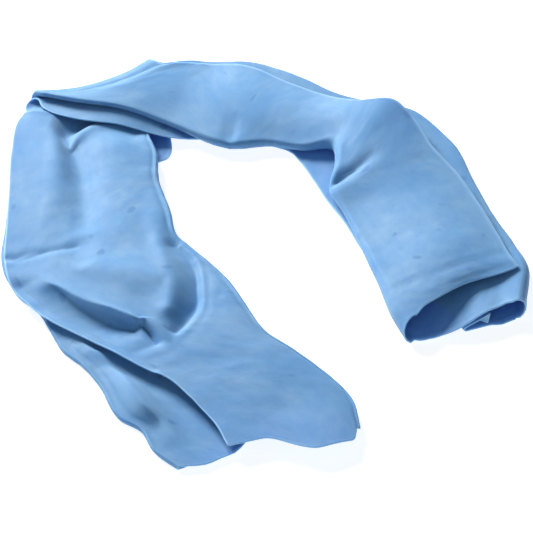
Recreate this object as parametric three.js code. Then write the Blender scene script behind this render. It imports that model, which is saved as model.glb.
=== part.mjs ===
// A cooling towel: one sheet of damp chamois, folded in three along its length and laid in an open loop.
// The left leg shows its first layer. At the far left corner the strip is folded over, so the band at the
// back and the right leg show the third layer. Both cut ends face the front.
// Millimetres, +Z up, origin at the centre of the outline where it rests.
import * as THREE from "three";

// Driving sizes.
const SHEET_THICKNESS = 1.2;
const LAYER_GAP = 1.4;
const PITCH = SHEET_THICKNESS + LAYER_GAP;
const STRIP = 100;
const LOFT = 10;
const HEM = 20;
const FOLD_DEPTH = 0.45;
const CORNER_HEIGHT = 12;
const CORNER_STAGGER = 0.03 * STRIP;
const CORNER_SAG = 1;
const CORNER_STEPS = 2;
const CUT_ROWS = 2;
const FACETS = { layers: [11, 5, 8], fold: 4 };

// Where the two edges and the two folds of the strip lie, seen from above, as shares of STRIP.
// Edge A is one long side of the sheet, folds 1 and 2 follow, and edge B is the other long side.
// steps is the number of spans from a row to the next.
const PLAN_COLUMNS = ["row", "steps", "ax", "ay", "f1x", "f1y", "f2x", "f2y", "bx", "by"];
const LEG_PLAN = table(PLAN_COLUMNS, [
  ["tail end", 2, -0.22, -1.55, 0.52, -1.33, -0.52, -1.65, 0.3, -1.3],
  ["tail 1", 2, -0.3, -1.38, 0.5, -1.17, -0.66, -1.52, 0.28, -1.18],
  ["tail 2", 2, -0.38, -1.27, 0.42, -1.05, -0.73, -1.38, 0.21, -1.06],
  ["tail 3", 1, -0.46, -1.17, 0.31, -0.93, -0.85, -1.29, 0.12, -0.93],
  ["tail 4", 3, -0.57, -1.05, 0.16, -0.79, -1, -1.01, -0.02, -0.75],
  ["tail 5", 4, -0.77, -0.92, 0, -0.66, -1.1, -0.87, -0.2, -0.62],
  ["bulge 1", 4, -0.94, -0.8, -0.13, -0.43, -1.22, -0.75, -0.3, -0.5],
  ["bulge 2", 4, -1.12, -0.68, -0.26, -0.19, -1.31, -0.58, -0.38, -0.3],
  ["bulge 3", 4, -1.32, -0.54, -0.38, -0.04, -1.39, -0.42, -0.5, -0.12],
  ["bulge 4", 4, -1.46, -0.4, -0.48, 0.08, -1.52, -0.29, -0.6, 0.02],
  ["bulge 5", 3, -1.57, -0.25, -0.56, 0.17, -1.6, -0.15, -0.66, 0.14],
  ["leg 1", 2, -1.62, -0.06, -0.61, 0.38, -1.65, 0.01, -0.7, 0.35],
  ["leg 2", 2, -1.63, 0.23, -0.66, 0.55, -1.65, 0.31, -0.75, 0.52],
  ["leg 3", 2, -1.64, 0.58, -0.7, 0.71, -1.65, 0.67, -0.76, 0.7],
  ["leg 4", 3, -1.65, 0.94, -0.71, 0.93, -1.65, 1.05, -0.74, 0.93],
  ["leg 5", 2, -1.62, 1.25, -0.79, 1.22, -1.62, 1.27, -0.66, 1],
  ["leg 6", 2, -1.59, 1.31, -0.77, 1.51, -1.61, 1.32, -0.66, 1.27],
]);
const BAND_PLAN = table(PLAN_COLUMNS, [
  ["band 1", 1, -1.48, 1.36, -0.69, 1.83, -1.47, 1.45, -0.7, 1.79],
  ["band 2", 1, -1.26, 1.26, -0.61, 1.86, -1.25, 1.39, -0.62, 1.81],
  ["band 3", 1, -0.99, 1.21, -0.5, 1.9, -0.98, 1.33, -0.52, 1.84],
  ["band 4", 1, -0.65, 1.14, -0.36, 1.92, -0.65, 1.22, -0.38, 1.86],
  ["band 5", 1, -0.29, 1.16, -0.11, 1.92, -0.24, 1.04, -0.14, 1.83],
  ["band 6", 1, 0.02, 1.12, 0.23, 1.76, 0.02, 1.07, 0.14, 1.66],
  ["band 7", 1, 0.17, 1.05, 0.49, 1.59, 0.24, 1.03, 0.38, 1.51],
  ["turn 1", 1, 0.22, 0.97, 0.73, 1.5, 0.43, 1.02, 0.6, 1.36],
  ["turn 2", 1, 0.27, 0.87, 0.97, 1.43, 0.45, 0.91, 0.84, 1.34],
  ["turn 3", 1, 0.32, 0.76, 1.14, 1.24, 0.44, 0.8, 0.96, 1.21],
  ["turn 4", 1, 0.38, 0.62, 1.24, 1.07, 0.41, 0.64, 1.08, 0.96],
  ["arm 1", 1, 0.5, 0.39, 1.32, 0.8, 0.5, 0.41, 1.2, 0.78],
  ["arm 2", 2, 0.63, 0.1, 1.43, 0.45, 0.61, 0.06, 1.34, 0.46],
  ["arm 3", 2, 0.86, -0.16, 1.55, 0.14, 0.7, -0.27, 1.45, 0.14],
  ["arm 4", 3, 1.1, -0.4, 1.62, -0.08, 0.77, -0.53, 1.52, -0.08],
  ["arm end", 1, 1.2, -0.53, 1.58, -0.4, 0.83, -0.68, 1.55, -0.14],
]);

// How each row stands. near and far are the layers of cloth under the strip on its two sides.
// edge, open1 and open2 lift the free edge on top and the upper side of each fold, and rise1 to rise3
// lift the middle of each layer, as shares of LOFT. drop lets the cloth down at fold 2 as a share of PITCH.
// turn bends edge A up by that share of a half turn, with a flap that is over shares of HEM wide.
const LIFT_COLUMNS = ["near", "far", "edge", "open1", "open2", "rise1", "rise2", "rise3", "drop",
  "turn", "over"];
const LEG_LIFT = table(LIFT_COLUMNS, [
  [0, 0, 0.2, 0, 0, 0.3, 0, 0, 0, 0, 0],
  [0, 0, 0.3, 0, 0, 0.4, 0, 0, 0, 0, 0],
  [0, 0, 0.3, 0, 0, 0.4, 0, 0, 0, 0, 0],
  [0, 0, 0.4, 0, 0, 0.5, 0, 0, 0, 0, 0],
  [0, 0, 0.4, 0, 0, 0.6, 0, 0, 0, 0, 0],
  [0, 0, 0.3, 0.1, 0, 0.6, 0, 0, 0, 0, 0],
  [0, 0, 0.2, 0.2, 0, 0.7, 0, 0, 0, 0, 0],
  [0, 0, 0.1, 0.3, 0, 0.7, 0, 0, 0, 0, 0],
  [0, 0, 0.1, 0.4, 0, 0.7, 0, 0, 0, 0, 0],
  [0, 0, 0.2, 0.4, 0, 0.7, 0, 0, 0, 0, 0],
  [0, 0, 0.3, 0.4, 0, 0.7, 0, 0, 0, 0, 0],
  [0, 0, 0.4, 0.4, 0, 0.7, 0, 0, 0, 0, 0],
  [0, 0, 0.5, 0.4, 0, 0.7, 0, 0, 0, 0, 0],
  [0, 0, 0.5, 0.4, 0, 0.7, 0, 0, 0, 0, 0],
  [0, 0, 0.5, 0.3, 0, 0.6, 0, 0, 0, 0, 0],
  [0.2, 0, 0.4, 0, 0, 0.1, 0, 0, 0, 0, 0],
  [1, 0, 0.1, 0, 0, 0, 0, 0, 0, 0, 0],
]);
const BAND_LIFT = table(LIFT_COLUMNS, [
  [5, 3, 0, 0, 0, 0, 0, 0, 0, 0, 0],
  [5.3, 2.6, 0, 0, 0, 0, 0, 0.1, -0.2, 0, 0],
  [4.8, 1.4, 0.1, 0.1, 0, 0, 0, 0.1, -0.1, 0, 0],
  [2.2, 0, 0.2, 0.2, 0.1, 0, 0, 0.2, 0, 0, 0],
  [0.5, 0, 0.3, 0.2, 0.3, 0, 0, 0.4, 0, 0, 0],
  [0, 0, 0.3, 0.2, 0.3, 0, 0, 0.4, 0, 0, 0],
  [0, 0, 0.5, 0.2, 0.3, 0, 0, 0.4, 0, 0, 0],
  [0, 0, 1.3, 0.2, 0.8, 0, 0, 0.2, 0, 0, 0],
  [0, 0, 1.5, 0.2, 1, 0, 0, 0.2, 0, 0, 0],
  [0, 0, 1.1, 0.2, 0.9, 0, 0, 0.3, 0, 0, 0],
  [0, 0, 0.8, 0.2, 0.7, 0, 0, 0.3, 0, 0, 0],
  [0, 0, 0.6, 0.2, 0.3, 0, 0, 0.4, 0, 0, 0],
  [0, 0, 0.6, 0.3, 0.5, 0, 0.1, 0.5, 0, 0, 0],
  [0, 0, 0.7, 0.5, 0.9, 0, 0.2, 0.6, 0, 0, 0],
  [0, 0, 0.85, 0.9, 1.2, 0, 0.1, 0.3, 0.5, 0.5, 0],
  [0, 0, 0.85, 1.2, 1.2, 0, 0, 0, 1, 0.87, 1.2],
]);

// The outlines of the two cut ends: place across the sheet (0 at edge A, 1 and 2 at the folds, 3 at edge
// B) and push beyond the end, as a share of LOFT.
const TAIL_CUT = [
  [0, 0], [0.5, 1.7], [0.85, 1.6], [1.02, 0.5], [1.15, -1.2], [1.48, -1.2], [1.72, 0.1], [1.87, 0.4],
  [2.02, 0.1], [2.4, -1], [3, -1],
];
const ARM_CUT = [
  [0, 0], [0.5, 0.4], [0.95, 0.4], [1.1, 0], [1.7, 0.5], [1.95, 0.1], [2.05, -0.4], [2.3, -0.7], [3, 0],
];

// The corner fold: the strip turns over about a line from one outline corner to the other. drift is how
// far the line's two ends travel along the strip while it turns, as shares of STRIP.
const CORNER = { southX: -1.53, southY: 1.44, northX: -0.77, northY: 1.83, driftX: 0.03, driftY: 0.015 };
const CORNER_TURNS = [-90, -45, 0, 45, 90];

// Folds that a layer is drawn over. Each follows a line of points x, y, height, with x and y as shares of
// STRIP and height and reach as shares of LOFT. The cloth passes through the lines and returns to its
// plain run beyond their reach.
const LEG_FOLDS = [
  { name: "left ridge", reach: 2, line: [
    [-1.55, 1.37, 1.3], [-1.47, 1.22, 1.45], [-1.39, 1.02, 1.45], [-1.36, 0.78, 1.45],
    [-1.37, 0.55, 1.4], [-1.38, 0.33, 1.3], [-1.4, 0.11, 1.2]] },
  { name: "hollow under the lip", reach: 2, line: [
    [-1.1, 1.32, 0.6], [-1.17, 1.29, 0.58], [-1.24, 1.22, 0.58], [-1.3, 1.14, 0.6], [-1.27, 1, 0.75],
    [-1.2, 0.75, 0.85], [-1.17, 0.51, 0.9], [-1.16, 0.27, 1]] },
  { name: "shoulder rim", reach: 1.5, line: [
    [-1.27, 0.99, 1.2], [-1.24, 1.06, 1.25], [-1.19, 1.12, 1.25], [-1.12, 1.18, 1.2], [-0.99, 1.19, 1],
    [-0.86, 1.16, 0.75]] },
  { name: "shoulder", reach: 2.5, line: [
    [-1, 0.93, 1.4], [-0.95, 0.64, 1.4], [-0.9, 0.41, 1.45], [-0.87, 0.18, 1.45]] },
  { name: "bulge rim", reach: 2, line: [
    [-1.52, -0.17, 1], [-1.39, -0.2, 1.3], [-1.26, -0.28, 1.5], [-1.07, -0.42, 1.7], [-0.92, -0.5, 1.8],
    [-0.78, -0.57, 1.7], [-0.69, -0.63, 1.55], [-0.63, -0.69, 1.4], [-0.58, -0.75, 1.25]] },
  { name: "bulge", reach: 2.5, line: [
    [-1.28, -0.09, 1.3], [-1.03, -0.16, 1.6], [-0.81, -0.24, 1.75]] },
  { name: "flank crest", reach: 2, line: [
    [-0.73, 0.31, 1.45], [-0.68, 0.1, 1.55], [-0.63, -0.13, 1.7], [-0.59, -0.33, 1.75],
    [-0.6, -0.5, 1.7]] },
  { name: "pocket", reach: 2, line: [
    [-1.5, -0.27, 0.7], [-1.36, -0.34, 0.62], [-1.2, -0.45, 0.6], [-1.01, -0.56, 0.6],
    [-0.87, -0.61, 0.6], [-0.8, -0.63, 0.65]] },
  { name: "lower strip", reach: 1, line: [
    [-1.38, -0.43, 0.75], [-1.19, -0.57, 0.8], [-1, -0.7, 0.85], [-0.85, -0.79, 0.85],
    [-0.74, -0.89, 0.9], [-0.67, -0.97, 0.95]] },
  { name: "tail lip", reach: 2, line: [
    [-0.53, 0.07, 1.15], [-0.45, -0.03, 1.2], [-0.41, -0.15, 1.2], [-0.39, -0.32, 1.2],
    [-0.39, -0.49, 1.2], [-0.45, -0.63, 1.2], [-0.53, -0.73, 1.2], [-0.62, -0.83, 1.2]] },
  { name: "valley by the tail", reach: 2, line: [
    [-0.56, 0.07, 0.95], [-0.49, -0.01, 0.85], [-0.44, -0.12, 0.8], [-0.42, -0.28, 0.75],
    [-0.42, -0.43, 0.75], [-0.48, -0.56, 0.8], [-0.54, -0.66, 0.85]] },
  { name: "under the collar", reach: 1, line: [
    [-0.75, -0.6, 0.85], [-0.71, -0.66, 0.75], [-0.66, -0.74, 0.85]] },
  { name: "collar", reach: 1, line: [
    [-0.77, -0.58, 1.05], [-0.75, -0.69, 1.15], [-0.71, -0.8, 1.15], [-0.67, -0.88, 1.15],
    [-0.63, -0.95, 1.1]] },
  { name: "tail", reach: 3, line: [
    [-0.25, -0.41, 1.25], [-0.19, -0.74, 1.2], [-0.1, -1.06, 1.1], [0.08, -1.28, 0.95]] },
];
const LEG_SECOND_FOLDS = [
  { name: "hump", reach: 1.5, line: [
    [-1.3, -0.61, 0.6], [-1.23, -0.71, 0.8], [-1.09, -0.83, 0.95], [-0.93, -0.96, 1.05],
    [-0.77, -1.12, 1.05], [-0.67, -1.27, 1], [-0.61, -1.43, 0.85], [-0.57, -1.57, 0.55]] },
  { name: "foot", reach: 1.5, line: [
    [-0.89, -0.83, 0.3], [-0.69, -0.96, 0.28], [-0.54, -1.09, 0.28], [-0.39, -1.28, 0.28],
    [-0.26, -1.5, 0.28]] },
  { name: "under the edge", reach: 0.6, line: [
    [-1.28, -0.56, 0.54], [-1.12, -0.69, 0.54], [-1.01, -0.76, 0.45]] },
];
const ARM_SECOND_FOLDS = [
  { name: "foot", reach: 1, line: [
    [0.98, -0.67, 0.15], [0.93, -0.46, 0.2]] },
  { name: "crest", reach: 1.2, line: [
    [1.36, -0.49, 1.26], [1.29, -0.26, 1.1]] },
];

// Small creases on top of those, with a reach to each side of the line. Their heights are lifts, and
// slide moves the crest to the right of the line, which makes it overhang.
const LEG_TOP = { layers: [0, 1], from: 3, to: 17 };
const ARM_TOP = { layers: [2.5, 3], from: 22, to: 37 };
const CREASES = [
  { name: "bulge rim", on: LEG_TOP, right: 0.6, left: 1, slide: 0.3, line: [
    [-1.39, -0.2, 0], [-1.26, -0.26, 0], [-1.07, -0.41, 0], [-0.91, -0.48, 0], [-0.77, -0.55, 0]] },
  { name: "side crease", on: LEG_TOP, right: 0.6, left: 0.6, slide: 0, line: [
    [-1.62, -0.04, -0.15], [-1.5, -0.03, -0.15], [-1.35, 0.01, -0.15], [-1.19, 0.05, -0.1]] },
  { name: "dimple", on: LEG_TOP, right: 1.2, left: 1.2, slide: 0, line: [
    [-1.16, 0.04, -0.15], [-1.16, -0.07, -0.15]] },
  { name: "band pinch", on: ARM_TOP, right: 0.6, left: 0.6, slide: 0, line: [
    [-0.25, 1.03, -0.2], [-0.23, 1.12, -0.2], [-0.2, 1.27, -0.1]] },
  { name: "turn notch", on: ARM_TOP, right: 0.8, left: 0.8, slide: 0, line: [
    [0.41, 0.64, -0.6], [0.54, 0.72, -0.4], [0.68, 0.85, -0.1]] },
];

function table(columns, rows) {
  return rows.map((row) => Object.fromEntries(columns.map((name, i) => [name, row[i]])));
}

function point(x, y, z) {
  return new THREE.Vector3(x, y, z);
}

function level(layers) {
  return SHEET_THICKNESS / 2 + layers * PITCH;
}

function toward(from, to, length) {
  return to.clone().sub(from).setZ(0).normalize().multiplyScalar(length).add(from);
}

// The margin along edge A in section, from its tip inward: a flap whose last third bends on, a bend of
// fixed length and a flat rest.
function marginProfile(turn, over) {
  const bend = (Math.PI * PITCH) / 2;
  const rest = HEM * 0.9 - bend;
  const angle = turn * Math.PI;
  const along = (share) => {
    if (angle < 0.01) return { outward: rest + bend * share, height: 0 };
    const radius = bend / angle;
    const part = angle * share;
    return { outward: rest + radius * Math.sin(part), height: radius * (1 - Math.cos(part)) };
  };
  const bent = [1, 2 / 3, 1 / 3, 0].map(along);
  const flap = HEM * Math.max(over, 0.1);
  const beyond = (place, length, way) => ({
    outward: place.outward + length * Math.cos(way),
    height: place.height + length * Math.sin(way),
  });
  const hem = beyond(bent[0], (flap * 2) / 3, angle);
  return [beyond(hem, flap / 3, angle * 1.8), hem, ...bent, { outward: 0, height: 0 }];
}

// The points across the strip: the margin at edge A (7), fold 1 (3), fold 2 (3) and edge B.
// On the leg layer 1 lies on top, on the band and the arm layer 3 does.
function strand(plan, lift, onLeg) {
  const topEdge = level(2 + lift.far) + lift.edge * LOFT;
  const heights = onLeg
    ? {
        a: level(2 + lift.near) + lift.edge * LOFT,
        fold1: [level(2) + lift.open1 * LOFT, level(1)],
        fold2: [level(1 + lift.near), level(lift.near)],
        b: level(0),
      }
    : {
        a: level(lift.near),
        fold1: [level(lift.far), level(1 + lift.far) + lift.open1 * LOFT],
        fold2: [level(1 + lift.near - lift.drop), level(2 + lift.near - lift.drop) + lift.open2 * LOFT],
        b: topEdge,
      };
  const edgeA = point(plan.ax * STRIP, plan.ay * STRIP, heights.a);
  const fold1 = point(plan.f1x * STRIP, plan.f1y * STRIP, 0);
  const fold2 = point(plan.f2x * STRIP, plan.f2y * STRIP, 0);
  const edgeB = point(plan.bx * STRIP, plan.by * STRIP, heights.b);
  const reach1 = FOLD_DEPTH * Math.abs(heights.fold1[0] - heights.fold1[1]);
  const reach2 = FOLD_DEPTH * Math.abs(heights.fold2[0] - heights.fold2[1]);
  const profile = marginProfile(lift.turn, lift.over);
  const outline = Math.max(...profile.map(({ outward }) => outward));
  const margin = profile.map(({ outward, height }) => {
    const place = toward(edgeA, fold1, outline - outward);
    place.z += height;
    return place;
  });
  return [
    ...margin,
    toward(fold1, edgeA, reach1).setZ(heights.fold1[0]),
    fold1.clone().setZ((heights.fold1[0] + heights.fold1[1]) / 2),
    toward(fold1, fold2, reach1).setZ(heights.fold1[1]),
    toward(fold2, fold1, reach2).setZ(heights.fold2[0]),
    fold2.clone().setZ((heights.fold2[0] + heights.fold2[1]) / 2),
    toward(fold2, edgeB, reach2).setZ(heights.fold2[1]),
    edgeB,
  ];
}

// The same points where the strip turns over its corner, at one angle of the turn.
function cornerStrand(degrees) {
  const angle = THREE.MathUtils.degToRad(degrees);
  const drift = point(CORNER.driftX, CORNER.driftY, 0).multiplyScalar((STRIP * degrees) / 90);
  const south = point(CORNER.southX * STRIP, CORNER.southY * STRIP, CORNER_HEIGHT).add(drift);
  const north = point(CORNER.northX * STRIP, CORNER.northY * STRIP, level(2) + PITCH / 2).add(drift);
  const along = north.clone().sub(south).normalize();
  const outward = point(-along.y, along.x, 0).normalize().multiplyScalar(Math.cos(angle));
  const spoke = outward.setZ(Math.sin(angle));
  const at = (end, layer, shift) =>
    end.clone().addScaledVector(spoke, (layer + 0.5) * PITCH).addScaledVector(along, shift);
  const reach = FOLD_DEPTH * PITCH;
  const profile = marginProfile(0, 0);
  return [
    ...profile.map(({ outward: place }) => at(south, 0, profile[0].outward - place - CORNER_STAGGER)),
    at(north, 0, -reach), at(north, 0.5, 0), at(north, 1, -reach),
    at(south, 1, reach), at(south, 1.5, 0), at(south, 2, reach),
    at(north, 2, -CORNER_STAGGER),
  ];
}

function buildRows() {
  const rise = (lift) => [lift.rise1, lift.rise2, lift.rise3].map((share) => share * LOFT);
  const row = (plan, lift, onLeg) =>
    ({ steps: plan.steps, points: strand(plan, lift, onLeg), rise: rise(lift) });
  return [
    ...LEG_PLAN.map((plan, i) => row(plan, LEG_LIFT[i], true)),
    ...CORNER_TURNS.map((turn) => ({ steps: CORNER_STEPS, points: cornerStrand(turn), rise: [0, 0, 0] })),
    ...BAND_PLAN.map((plan, i) => row(plan, BAND_LIFT[i], false)),
  ];
}

// The points and the lifts of the row at place t, where whole numbers are the rows themselves.
function rowMaker(rows) {
  const last = rows.length - 1;
  const strands = rows[0].points.map((_, k) =>
    new THREE.CatmullRomCurve3(rows.map((row) => row.points[k]), false, "chordal"));
  return (t) => {
    const i = Math.min(Math.floor(t), last - 1);
    const rise = rows[i].rise.map((value, k) => THREE.MathUtils.lerp(value, rows[i + 1].rise[k], t - i));
    return { t, points: strands.map((s) => s.getPoint(t / last)), rise };
  };
}

// One line of the sheet's middle surface, from edge A to edge B. Each node has its place, its layer, its
// share of the way round a fold, and across: the folds lie near 1 and 2, edge B at 3.
function lineAcross({ t, points, rise }) {
  const line = [];
  const put = (place, layer, across, share = 1) => line.push({ place, layer, across, share, t });
  const margin = points.slice(0, -7);
  const [in1, fold1, out1, in2, fold2, out2, edgeB] = points.slice(-7);
  margin.forEach((place) => put(place, 0, 0));
  const layer = (from, to, k) => {
    for (let i = 1; i <= FACETS.layers[k]; i++) {
      const x = i / FACETS.layers[k];
      const place = from.clone().lerp(to, x);
      place.z += rise[k] * (4 * x * (1 - x)) ** 1.5;
      put(place, k + 1, k + x);
    }
  };
  const fold = (from, tipOfFold, to, k) => {
    const centre = from.clone().lerp(to, 0.5);
    const outward = tipOfFold.clone().sub(centre);
    const upward = from.clone().sub(centre);
    for (let i = 1; i <= FACETS.fold; i++) {
      const share = i / FACETS.fold;
      const angle = Math.PI / 2 - share * Math.PI;
      const place = centre.clone().addScaledVector(outward, Math.cos(angle));
      put(place.addScaledVector(upward, Math.sin(angle)), k + 0.5, k + 0.1 * (share - 0.5), share);
    }
  };
  layer(margin.at(-1), in1, 0);
  fold(in1, fold1, out1, 1);
  layer(out1, in2, 1);
  fold(in2, fold2, out2, 2);
  layer(out2, edgeB, 2);
  return line;
}

// Nearest place on a line of shares: signed side (left of the line is true), height and direction.
function nearest(line, x, y) {
  let best = { distance: Infinity };
  for (let i = 0; i + 1 < line.length; i++) {
    const [ax, ay, ah] = line[i];
    const [bx, by, bh] = line[i + 1];
    const dx = (bx - ax) * STRIP;
    const dy = (by - ay) * STRIP;
    const length = Math.hypot(dx, dy);
    const px = x - ax * STRIP;
    const py = y - ay * STRIP;
    const along = THREE.MathUtils.clamp((px * dx + py * dy) / length ** 2, 0, 1);
    const distance = Math.hypot(px - along * dx, py - along * dy);
    if (distance < best.distance) {
      const isLeft = dx * py - dy * px > 0;
      const height = (ah + (bh - ah) * along) * LOFT;
      best = { distance, isLeft, height, nx: -dy / length, ny: dx / length };
    }
  }
  return best;
}

// The push of a cut end at a place across the sheet, by smooth steps from one row to the next.
function cutPush(cut, across) {
  const next = cut.findIndex(([place]) => place > across);
  const i = next < 0 ? cut.length - 2 : next - 1;
  const [from, here] = cut[i];
  const [to, there] = cut[i + 1];
  return THREE.MathUtils.lerp(here, there, THREE.MathUtils.smoothstep(across, from, to)) * LOFT;
}

// Pushes the two cut ends out to their outlines, along the strip.
function shapeEnds(grid) {
  const last = grid.at(-1)[0].t;
  const middles = grid.map((line) =>
    line.reduce((sum, node) => sum.add(node.place), point(0, 0, 0)).divideScalar(line.length));
  const nearEnd = (away) => THREE.MathUtils.clamp(1 - away / CUT_ROWS, 0, 1) ** 2;
  grid.forEach((line, i) => {
    const before = middles[Math.max(i - 1, 0)];
    const after = middles[Math.min(i + 1, grid.length - 1)];
    const forward = after.clone().sub(before).setZ(0).normalize();
    for (const { place, across, t } of line) {
      const push = nearEnd(last - t) * cutPush(ARM_CUT, across) - nearEnd(t) * cutPush(TAIL_CUT, across);
      place.addScaledVector(forward, push);
    }
  });
}

// Lets the strip sag off the line between the two outline corners where it turns over. The sag is the
// same for all layers at a place on that line, and dies away on the rows before and after the turn.
function sagAtCorner({ place, t }) {
  const { clamp, smoothstep } = THREE.MathUtils;
  const south = point(CORNER.southX, CORNER.southY, 0).multiplyScalar(STRIP);
  const line = point(CORNER.northX, CORNER.northY, 0).multiplyScalar(STRIP).sub(south);
  const share = clamp(place.clone().sub(south).dot(line) / line.lengthSq(), 0, 1);
  const first = LEG_PLAN.length;
  const last = first + CORNER_TURNS.length - 1;
  const near = smoothstep(t, first - 2.5, first) * (1 - smoothstep(t, last, last + 4));
  const outward = point(-line.y, line.x, 0).normalize();
  place.addScaledVector(outward, -near * 4 * share * (1 - share) * CORNER_SAG * LOFT);
}

// Draws a place over folds: its new height is the mean of its own height, with weight one, and of each
// line's height with weight (reach / distance) squared. fade below one keeps part of its old height.
function drawOver(place, folds, fade) {
  if (fade <= 0) return;
  let total = place.z;
  let weights = 1;
  for (const { reach, line } of folds) {
    const { distance, height } = nearest(line, place.x, place.y);
    const weight = ((reach * LOFT) / Math.max(distance, 0.03 * LOFT)) ** 2;
    total += weight * height;
    weights += weight;
  }
  place.z = THREE.MathUtils.lerp(place.z, total / weights, fade);
}

function drapeLayers({ place, across, t }, last) {
  const { clamp, smoothstep } = THREE.MathUtils;
  const between = (a, b, c, d) => smoothstep(across, a, b) * (1 - smoothstep(across, c, d));
  const onLeg = clamp((LEG_PLAN.length - 0.4 - t) / 0.8, 0, 1);
  const top = 1 - smoothstep(across, 0.95, 1.06);
  drawOver(place, LEG_FOLDS, onLeg * top);
  drawOver(place, LEG_SECOND_FOLDS, clamp(8 - t, 0, 1) * between(1.2, 1.5, 1.9, 1.98));
  drawOver(place, ARM_SECOND_FOLDS, clamp(t - last + 2, 0, 1) * between(1.05, 1.25, 1.8, 1.95));
}

function press(node) {
  const base = node.place;
  const moved = base.clone();
  for (const crease of CREASES) {
    const { layers, from, to } = crease.on;
    if (!layers.includes(node.layer)) continue;
    const fade = THREE.MathUtils.clamp(node.t - from, 0, 1) * THREE.MathUtils.clamp(to - node.t, 0, 1);
    const hit = nearest(crease.line, base.x, base.y);
    const reach = (hit.isLeft ? crease.left : crease.right) * LOFT;
    const share = Math.min(hit.distance / reach, 1);
    const weight = node.share * fade * (1 - share ** 2) ** 2;
    moved.z += hit.height * weight;
    moved.x -= hit.nx * weight * crease.slide * LOFT;
    moved.y -= hit.ny * weight * crease.slide * LOFT;
  }
  return moved;
}

function placesAlong(rows) {
  const places = rows.slice(0, -1).flatMap(({ steps }, i) =>
    Array.from({ length: steps }, (_, s) => i + s / steps));
  return [...places, rows.length - 1];
}

function middleSurface() {
  const rows = buildRows();
  const rowAt = rowMaker(rows);
  const grid = placesAlong(rows).map((t) => lineAcross(rowAt(t)));
  shapeEnds(grid);
  for (const node of grid.flat()) {
    sagAtCorner(node);
    drapeLayers(node, rows.length - 1);
  }
  return grid.map((line) => line.map(press));
}

function normalAt(grid, i, j) {
  const before = grid[Math.max(i - 1, 0)][j];
  const after = grid[Math.min(i + 1, grid.length - 1)][j];
  const left = grid[i][Math.max(j - 1, 0)];
  const right = grid[i][Math.min(j + 1, grid[0].length - 1)];
  return after.clone().sub(before).cross(right.clone().sub(left)).normalize();
}

// Both faces of the sheet half a thickness off its middle surface, closed round the rim.
function sheetSolid(grid) {
  const rows = grid.length;
  const columns = grid[0].length;
  const positions = [];
  for (const face of [0.5, -0.5]) {
    for (let i = 0; i < rows; i++) {
      for (let j = 0; j < columns; j++) {
        const place = grid[i][j].clone().addScaledVector(normalAt(grid, i, j), face * SHEET_THICKNESS);
        positions.push(place.x, place.y, Math.max(place.z, 0));
      }
    }
  }
  const under = rows * columns;
  const index = [];
  const quad = (a, b, c, d) => index.push(a, b, c, a, c, d);
  for (let i = 0; i + 1 < rows; i++) {
    for (let j = 0; j + 1 < columns; j++) {
      const a = i * columns + j;
      quad(a, a + columns, a + columns + 1, a + 1);
      quad(under + a, under + a + 1, under + a + columns + 1, under + a + columns);
    }
  }
  for (let i = 0; i + 1 < rows; i++) {
    const start = i * columns;
    const end = start + columns - 1;
    quad(start, under + start, under + start + columns, start + columns);
    quad(end, end + columns, under + end + columns, under + end);
  }
  for (let j = 0; j + 1 < columns; j++) {
    const far = (rows - 1) * columns + j;
    quad(j, j + 1, under + j + 1, under + j);
    quad(far, under + far, under + far + 1, far + 1);
  }
  const geometry = new THREE.BufferGeometry();
  geometry.setAttribute("position", new THREE.Float32BufferAttribute(positions, 3));
  geometry.setIndex(index);
  geometry.computeBoundingBox();
  const centre = geometry.boundingBox.getCenter(point(0, 0, 0));
  geometry.translate(-centre.x, -centre.y, -geometry.boundingBox.min.z);
  geometry.computeVertexNormals();
  return geometry;
}

const towel = new THREE.Mesh(
  sheetSolid(middleSurface()),
  new THREE.MeshStandardMaterial({ name: "chamois", color: 0x86afda, roughness: 0.9, metalness: 0 }),
);
towel.name = "towel";

const root = new THREE.Group();
root.name = "cooling_towel";
root.add(towel);

export default root;
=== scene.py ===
import math

import bpy
import numpy as np
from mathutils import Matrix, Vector


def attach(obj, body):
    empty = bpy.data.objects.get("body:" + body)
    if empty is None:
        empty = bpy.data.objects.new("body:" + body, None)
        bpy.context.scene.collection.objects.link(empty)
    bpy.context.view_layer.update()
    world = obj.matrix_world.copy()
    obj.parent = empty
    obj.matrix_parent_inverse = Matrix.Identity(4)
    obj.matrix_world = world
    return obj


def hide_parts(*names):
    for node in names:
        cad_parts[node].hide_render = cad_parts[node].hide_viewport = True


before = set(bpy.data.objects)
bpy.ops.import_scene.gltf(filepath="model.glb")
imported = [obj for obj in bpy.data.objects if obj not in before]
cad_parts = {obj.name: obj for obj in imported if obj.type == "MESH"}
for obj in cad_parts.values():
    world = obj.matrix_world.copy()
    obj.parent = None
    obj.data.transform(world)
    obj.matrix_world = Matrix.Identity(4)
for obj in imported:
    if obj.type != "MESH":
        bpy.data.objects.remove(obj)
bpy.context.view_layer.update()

# The towel. One sheet of soft damp chamois, about 750 mm by 305 mm, felted in one piece with plain cut
# edges. It is folded in three along its length and laid in an open loop: the left leg shows its first
# layer, and past the fold-over at the far left corner the band and the right arm show the third.
THICKNESS = 1.2
LAYER_GAP = 1.4
PITCH = THICKNESS + LAYER_GAP
STRIP = 100.0
LOFT = 10.0
HEM = 20.0
FOLD_DEPTH = 0.45
CORNER_HEIGHT = 12.0
MM = 0.001
# The tables' origin is the point that the camera looks at, and CENTRE is the towel's middle from there.
CENTRE = np.array([-1.73, 12.91, 0.0])

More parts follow.
